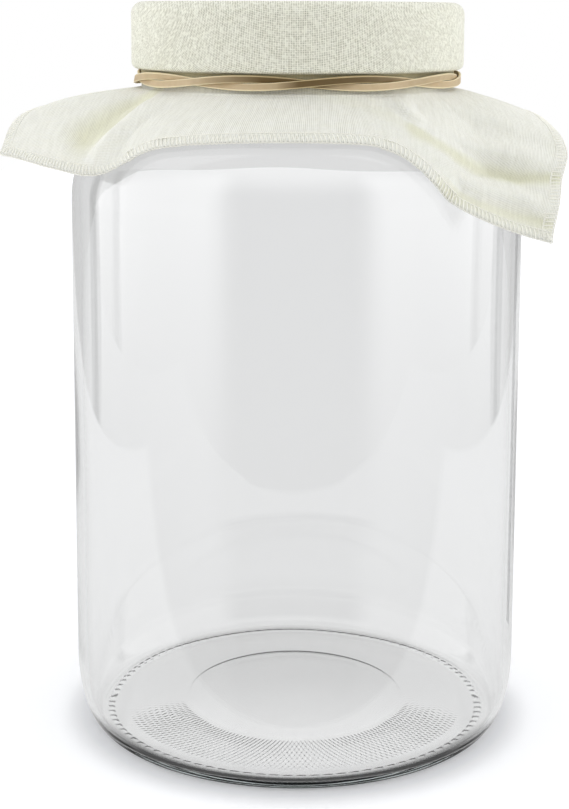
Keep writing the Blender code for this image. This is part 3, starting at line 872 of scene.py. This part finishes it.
def clothThreads(tree, u, v):   # height, width and unevenness of warp and weft
    threads = []
    alongScale, scale = clothCover["slubScale"]
    for number, (across, along) in enumerate(((u, v), (v, u))):
        lane = maths(tree, "FLOOR", across)
        width = maths(tree, "ABSOLUTE", maths(tree, "SINE", times(tree, across, math.pi)))
        phase = maths(tree, "ADD", maths(tree, "ADD", along, lane), float(number))
        over = maths(tree, "COSINE", times(tree, phase, math.pi))
        over = maths(tree, "MULTIPLY_ADD", over, 0.3, 0.7)
        slub = noise(tree, vector(tree, lane, times(tree, along, alongScale)), scale, 2.0)
        threads.append((times(tree, width, over), width, slub))
    return threads


def clothMaterial():
    c = clothCover
    material, tree, shader = newMaterial("ivoryCotton", c["cotton"], 0.9, Subsurface_Weight=0.35,
                                         Subsurface_Radius=(1.0, 0.97, 0.85),
                                         Subsurface_Scale=0.0006, Sheen_Weight=0.15,
                                         Sheen_Roughness=0.5, Specular_IOR_Level=0.15)
    flat = node(tree, "ShaderNodeUVMap", uv_map="flatCloth").outputs[0]
    scale = (c["threadsAcross"], c["threadsAcross"], 1)
    scaled = node(tree, "ShaderNodeMapping", {"Vector": flat, "Scale": scale})
    u, v, _ = parts(tree, scaled.outputs[0])
    threads = clothThreads(tree, u, v)
    (warp, warpWidth, _), (weft, weftWidth, weftSlub) = threads
    onLid = pointValue(tree, "overLid")
    # painted shade in the gaps and holes between threads, deeper where the cloth lies on the lid
    gaps = []
    for (_, width, slub), deep in zip(threads, c["gapDepths"]):
        uneven = maths(tree, "MULTIPLY_ADD", stepBetween(tree, slub, 0.66, 0.36), 0.6, 0.4)
        between = times(tree, maths(tree, "SUBTRACT", 1.0, width), uneven)
        gaps.append(times(tree, between, deep))
    cell = vector(tree, maths(tree, "FLOOR", u), maths(tree, "FLOOR", v))
    chance = node(tree, "ShaderNodeTexWhiteNoise", {"Vector": cell}).outputs["Value"]
    cover = maths(tree, "MAXIMUM", warpWidth, weftWidth)
    hole = times(tree, stepBetween(tree, cover, 0.92, 0.62),
                 stepBetween(tree, chance, *c["holeChance"]))
    everywhere, more = c["holeDepths"]
    deeper = maths(tree, "MULTIPLY_ADD", onLid, more, everywhere)
    darker = maths(tree, "MULTIPLY_ADD", hole, deeper, maths(tree, "ADD", *gaps))
    darker = maths(tree, "MINIMUM", darker, 0.9)
    tone = mixColour(tree, stepBetween(tree, weftSlub, 0.35, 0.65), c["cotton"], c["cottonThin"])
    tone = mixColour(tree, onLid, tone, c["cottonOnLid"])
    # painted shade in the folds' hollows, deeper as a fold sinks
    shade = times(tree, pointValue(tree, "hollow"), c["hollowShade"])
    tone = mixColour(tree, shade, tone, c["cottonHollow"])
    # painted shade on the cloth at the neck, between and just past the band's strands
    tone = mixColour(tree, pointValue(tree, "underBand"), tone, c["cottonTight"])
    colour = mixColour(tree, darker, tone, c["gapColour"])
    tree.links.new(colour, shader.inputs["Base Color"])
    roughen(tree, shader, maths(tree, "MAXIMUM", warp, weft), 0.6, 0.00012)
    return material


def makeCloth(points, flat):
    c = clothCover
    rings, spokes = points.shape[:2]
    index = np.arange(1, (rings - 1) * spokes + 1).reshape(rings - 1, spokes)
    faces = [(0, a, b) for a, b in zip(index[0].tolist(), np.roll(index[0], -1).tolist())]
    spots = np.concatenate([points[0, :1], points[1:].reshape(-1, 3)])
    mesh = newMesh("clothCover", spots, faces + gridFaces(index))
    places = np.concatenate([[(0, 0)], flat[1:].reshape(-1, 2)])
    loops = np.empty(len(mesh.loops), int)
    mesh.loops.foreach_get("vertex_index", loops)
    sheet = (places - clothMiddle) / c["side"] + 0.5
    mesh.uv_layers.new(name="flatCloth").data.foreach_set("uv", sheet[loops].ravel())
    start, end = c["onLid"]
    resting = np.clip((end - np.linalg.norm(places, axis=1)) / (end - start), 0, 1)
    middleZ = (bandLow.z + bandHigh.z) / 2 - rubberBand["lowered"]
    offBand = np.abs(spots[:, 2] - middleZ) - (bandHigh.z - bandLow.z) / 2
    atNeck = np.hypot(spots[:, 0], spots[:, 1]) < neckRadius + c["bandShadeOut"]
    addPointValues(mesh, overLid=resting,
                   # painted shade, by how deep each fold sinks
                   hollow=np.clip(-foldHeight(places) / c["fullHollow"], 0, 1),
                   # painted shade at the neck, strongest within the band's height and fading past
                   # it
                   underBand=np.clip(0.8 - offBand / c["bandShade"], 0, 1) * atNeck)
    cloth = newObject("clothCover", mesh, clothMaterial())
    shell = cloth.modifiers.new("thickness", "SOLIDIFY")
    shell.thickness = c["thickness"]
    shell.offset = 1
    plainMesh(cloth)
    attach(cloth, "cover")
    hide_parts("cover_cloth")
    print(f"cloth cover: {len(cloth.data.polygons)} faces")
    return cloth


# Overlocked hem

hemStitches = {
    "pitch": 0.00140,
    "width": 0.0034,            # from the edge in to the needle line
    "over": 0.00035,            # how far the loops wrap past the edge
    "thread": 0.00022,          # radius
    "lift": 0.00024,
    "slant": 0.0011,
    "lightThread": (0.96, 0.955, 0.88),
    "darkThread": (0.91, 0.90, 0.80),
}


def hemFrames(points, flat):    # places and directions along the cloth's edge
    c, h = clothCover, hemStitches
    rim, normals = points[-1], clothNormals(points)[-1]
    depth = np.linalg.norm(flat[-1] - flat[:-1], axis=-1)
    ring = np.abs(depth - 1.2 * h["width"]).argmin(0)
    inner = points[:-1][ring, np.arange(len(rim))]
    closed = np.concatenate([rim, rim[:1]])
    runs = np.concatenate([[0], np.cumsum(np.linalg.norm(np.diff(closed, axis=0), axis=1))])
    spots = (np.arange(round(runs[-1] / h["pitch"])) + 0.5) * h["pitch"]

    def along(values):
        values = np.concatenate([values, values[:1]])
        return np.stack([np.interp(spots, runs, column) for column in values.T], -1)

    places, ups, insides = along(rim), along(normals), along(inner - rim)
    forward = along(np.roll(rim, -1, 0) - np.roll(rim, 1, 0))
    forward /= np.linalg.norm(forward, axis=1, keepdims=True)
    insides -= (insides * forward).sum(1, keepdims=True) * forward
    ups /= np.linalg.norm(ups, axis=1, keepdims=True)
    return places + ups * c["thickness"] / 2, insides, ups


def overlockStitch(tree, given):

    def spot(along, far, inward, deep, up):     # a point from shares of the named sizes
        pairs = ((along, far), (inward, deep), ("Lift", up))
        return vector(tree, *(times(tree, given[title], share) if share else 0.0
                              for title, share in pairs))

    tube = form(tree, "CurvePrimitiveCircle", {"Resolution": 5, "Radius": given["Thread"]})
    threads = []
    bows = [    # of one stitch: start, middle and end of each thread, and its steps
        (("Slant", -0.5, "Width", 1.0, 0), ("Slant", 0.1, "Width", 0.45, 2.1),
         ("Slant", 0.5, "Over", -1.0, 0), 5),
        (("Slant", 0.5, "Width", 1.0, 0), ("Slant", 0.1, "Width", 0.45, -2.1),
         ("Slant", -0.5, "Over", -1.0, 0), 5),
        (("Pitch", -0.55, "Width", 0.95, 0), ("Pitch", 0, "Width", 1.02, 1.6),
         ("Pitch", 0.55, "Width", 0.95, 0), 3),
        (("Pitch", -0.55, "Over", -0.5, 0), ("Pitch", 0, "Over", -1.9, 0),
         ("Pitch", 0.55, "Over", -0.5, 0), 3),
    ]
    for start, middle, end, steps in bows:
        bow = form(tree, "CurveQuadraticBezier", {
            "Resolution": steps, "Start": spot(*start), "Middle": spot(*middle), "End": spot(*end)})
        threads.append(form(tree, "CurveToMesh", {"Curve": bow, "Profile Curve": tube,
                                                  "Fill Caps": True}))
    directions = [node(tree, "GeometryNodeInputNamedAttribute", {"Name": title},
                       data_type="FLOAT_VECTOR").outputs[0] for title in ("inward", "upward")]
    turned = node(tree, "FunctionNodeAxesToRotation", {0: directions[1], 1: directions[0]},
                  primary_axis="Z", secondary_axis="Y")
    return form(tree, "InstanceOnPoints", {
        "Points": given["Geometry"], "Instance": joined(tree, threads),
        "Rotation": turned.outputs[0]})


def makeHem(points, flat):
    h = hemStitches
    material, tree, shader = newMaterial("hemThread", h["lightThread"], 0.85,
                                         Sheen_Weight=0.2, Subsurface_Weight=0.2,
                                         Subsurface_Radius=(1.0, 0.97, 0.85),
                                         Subsurface_Scale=0.0005)
    fuzz = noise(tree, objectPlace(tree), 4200.0, 3.0)
    tone = mixColour(tree, fuzz, h["lightThread"], h["darkThread"])
    tree.links.new(tone, shader.inputs["Base Color"])
    roughen(tree, shader, fuzz, 0.5, 0.00008)
    places, insides, ups = hemFrames(points, flat)
    mesh = newMesh("hemStitches", places, [])
    for title, values in (("inward", insides), ("upward", ups)):
        data = mesh.attributes.new(title, "FLOAT_VECTOR", "POINT").data
        data.foreach_set("vector", np.ascontiguousarray(values).ravel())
    hem = newObject("hemStitches", mesh, material)
    names = ("pitch", "width", "over", "thread", "lift", "slant")
    sizes = {name.title(): h[name] for name in names}
    addPattern(hem, "overlockStitches", overlockStitch, sizes, material)
    hem.data.shade_smooth()
    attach(hem, "cover")
    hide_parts("hem_stitching")
    print(f"hem: {len(places)} stitches, {len(hem.data.polygons)} faces")
    return hem


# Rubber band, one flat loop laid twice round the neck

rubberBand = {
    "width": 0.0024,
    "thickness": 0.0008,
    "selfGap": 0.00048,
    "halfTwists": 9,
    "crossing": -87,            # degrees
    "lean": 20,                 # how far the strip rolls over on its way, in degrees
    "lowered": 0.0008,          # pulled down into the neck
    "points": 900,
    "corner": 0.00018,
    "paleEdge": 0.00036,        # how far the paler cut, partly a painted highlight along the edges, shows on the faces
    "face": [(0.47, 0.35, 0.19), (0.66, 0.52, 0.33)],
    "faceShaded": (0.15, 0.095, 0.03),      # painted shade of the upper strand in the middle, where the lid shades it
    # paler cut edges: partly the cut's own colour, partly a painted highlight
    "cut": (0.84, 0.73, 0.49),
    "cutShaded": (0.55, 0.44, 0.24),
    "shadeUpper": (0.006, 0.032),   # middle and reach of the painted shade, left to right
    "shadeBoth": (0.003, 0.010),
}


def bandSection():              # outline of the strip, a rectangle with rounded corners
    b = rubberBand
    half, flat, soft = b["width"] / 2, b["thickness"] / 2, b["corner"]
    outline = []
    for quarter, (u, v) in enumerate(((1, 1), (-1, 1), (-1, -1), (1, -1))):
        for step in range(4):
            turn = math.pi / 2 * (quarter + step / 3)
            outline.append((u * (flat - soft) + soft * math.cos(turn),
                            v * (half - soft) + soft * math.sin(turn)))
    left = [(-flat, half - b["paleEdge"]), (-flat, b["paleEdge"] - half)]
    right = [(flat, b["paleEdge"] - half), (flat, half - b["paleEdge"])]
    return np.array(outline[:8] + left + outline[8:] + right)


def makeBand():
    b = rubberBand
    material, tree, shader = newMaterial("naturalRubber", b["face"][1], 0.5,
                                         Subsurface_Weight=0.15, Subsurface_Scale=0.001,
                                         Subsurface_Radius=(1.0, 0.7, 0.4))
    cloud = noise(tree, objectPlace(tree), 260.0, 4.0)
    upper = pointValue(tree, "upperStrand")
    # painted shade: shaded copies of the face and cut colours
    face = mixColour(tree, upper, mixColour(tree, cloud, *b["face"]), b["faceShaded"])
    cut = mixColour(tree, upper, b["cut"], b["cutShaded"])
    # paler along the cut edges, partly their own colour and partly a painted highlight
    colour = mixColour(tree, pointValue(tree, "cutEdge"), face, cut)
    tree.links.new(colour, shader.inputs["Base Color"])
    roughen(tree, shader, cloud, 0.4, 0.00006)
    swing = (b["thickness"] + b["selfGap"]) / 2
    rise = (b["width"] + 0.5 * b["selfGap"]) / 2
    middleZ = (bandLow.z + bandHigh.z) / 2 - b["lowered"]
    radius = bandHigh.x - swing - b["thickness"] / 2
    turn = np.linspace(0, 4 * math.pi, b["points"], endpoint=False)
    twist = b["halfTwists"] / 2 * (turn - math.radians(b["crossing"])) + math.pi / 2
    r = radius + swing * np.clip(1.8 * np.sin(twist), -1, 1)
    z = middleZ - rise * np.cos(twist)
    lean = -np.radians(b["lean"]) * np.cos(twist)[:, None]
    section = bandSection()
    out, up = section.T
    reach = r[:, None] + (out * np.cos(lean) + up * np.sin(lean))
    height = z[:, None] + (up * np.cos(lean) - out * np.sin(lean))
    points = np.stack([reach * np.cos(turn)[:, None], reach * np.sin(turn)[:, None], height], -1)
    count, sides = reach.shape
    index = np.arange(count * sides).reshape(count, sides)
    faces = gridFaces(np.concatenate([index, index[:1]]))
    mesh = newMesh("rubberBandStrip", points.reshape(-1, 3), faces)
    edge = np.tile(np.abs(section[:, 1]) > b["width"] / 2 - 1.01 * b["corner"], count)
    across = radius * np.cos(turn)
    # painted shade along the band, on the upper strand under the lid and on both strands near the
    # middle
    (middle, reachUpper), (middleBoth, reachBoth) = b["shadeUpper"], b["shadeBoth"]
    aside = np.exp(-((across - middle) / reachUpper) ** 4)
    both = np.exp(-((across - middleBoth) / reachBoth) ** 2)
    upper = np.clip(np.clip(0.5 - 0.7 * np.cos(twist), 0, 1) * aside + 0.7 * both, 0, 1)
    addPointValues(mesh, cutEdge=edge.astype(float), upperStrand=np.repeat(upper, sides))
    closeUp(mesh)
    band = newObject("rubberBandStrip", mesh, material)
    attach(band, "band")
    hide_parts("rubber_band")
    print(f"rubber band: {len(mesh.polygons)} faces")


def main():
    bpy.context.scene.view_settings.view_transform = "Standard"
    placeCamera()
    lightRoom()
    layTable()
    makeJar()
    makeLid()
    makeLiner()
    points, flat = drapeCloth()
    cloth = makeCloth(points, flat)
    hem = makeHem(points, flat)
    makeBand()


main()
